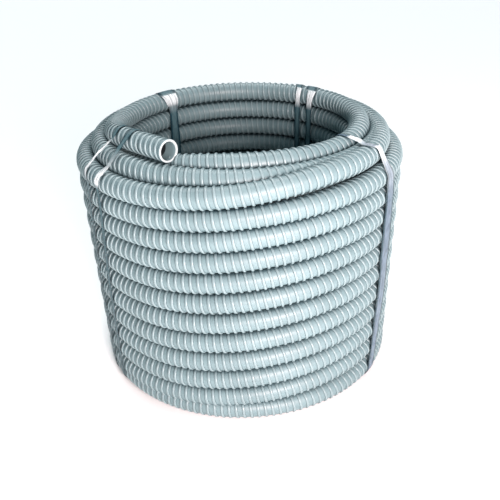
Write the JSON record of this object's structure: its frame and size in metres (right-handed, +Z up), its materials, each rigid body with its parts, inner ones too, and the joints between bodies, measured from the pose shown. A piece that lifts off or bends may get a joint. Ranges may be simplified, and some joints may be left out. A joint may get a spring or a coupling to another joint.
{
  "type": "coiled drain hose",
  "caption": "Tall coil of grey spiral-ribbed drain hose, wound in three layers and held by clear film ties, with one open end on top.",
  "frame": {"origin": "on the coil's axis, in the plane of the floor it stands on", "axes": "+Z up along the coil's axis; -Y is the front, seen from which the free end lies on top at the left (-X) and points to the right and forwards"},
  "size_m": [0.5089, 0.509, 0.4291],
  "materials": {
    "hose_wall": "soft satin grey",
    "hose_spiral": "satin light grey",
    "tie_film": "clear glossy film"
  },
  "bodies": {
    "root": {"hose_outer_layer": "hose_wall", "hose_middle_layer": "hose_wall", "hose_inner_layer": "hose_wall", "hose_top_turn": "hose_wall", "hose_free_end": "hose_wall", "free_end_spiral": "hose_spiral", "film_tie_front_left": "tie_film", "film_tie_front_right": "tie_film", "film_tie_back_left": "tie_film", "film_tie_back_right": "tie_film"}
  },
  "joints": []
}
